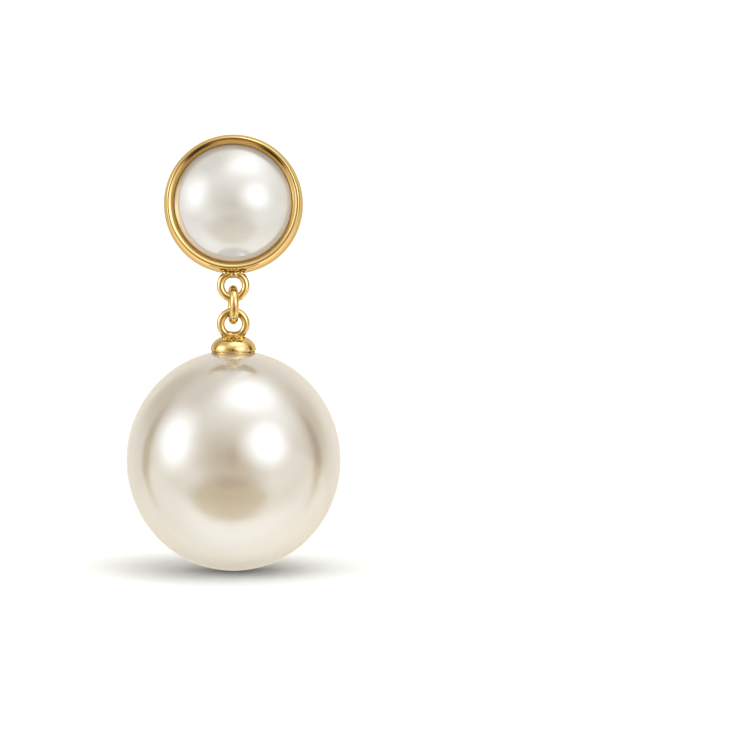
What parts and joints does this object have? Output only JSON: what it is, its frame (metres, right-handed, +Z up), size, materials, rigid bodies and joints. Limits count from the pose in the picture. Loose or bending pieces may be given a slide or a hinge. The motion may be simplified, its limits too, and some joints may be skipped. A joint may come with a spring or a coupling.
{
  "type": "pearl drop earring",
  "caption": "Drop earring: a round gold setting with a button pearl and an ear post, and a large pearl that swings below it from a wire ring.",
  "frame": {"origin": "middle of the setting's flat back, where the ear post leaves it", "axes": "+Z up, the way the earring hangs; the earring faces -Y and its post points to +Y, 8 degrees down"},
  "size_m": [0.02, 0.0236, 0.0407],
  "materials": {
    "gold": "polished gold plating",
    "button_pearl": "pearl coating, satin gloss",
    "drop_pearl": "cream pearl coating, satin gloss"
  },
  "bodies": {
    "stud": {"bezel_setting": "gold", "button_pearl": "button_pearl", "ear_post": "gold"},
    "link": {"jump_link": "gold"},
    "drop": {"pearl_cap": "gold", "drop_pearl": "drop_pearl"}
  },
  "joints": [
    {"name": "link_swing", "type": "hinge", "parent": "stud", "child": "link", "pos_m": [0, -0.00271, -0.00851], "axis": [1, 0, 0], "range_deg": [-70, 70]},
    {"name": "drop_swing", "type": "hinge", "parent": "link", "child": "drop", "pos_m": [0, -0.00271, -0.01056], "axis": [0, 1, 0], "range_deg": [-70, 70]}
  ]
}
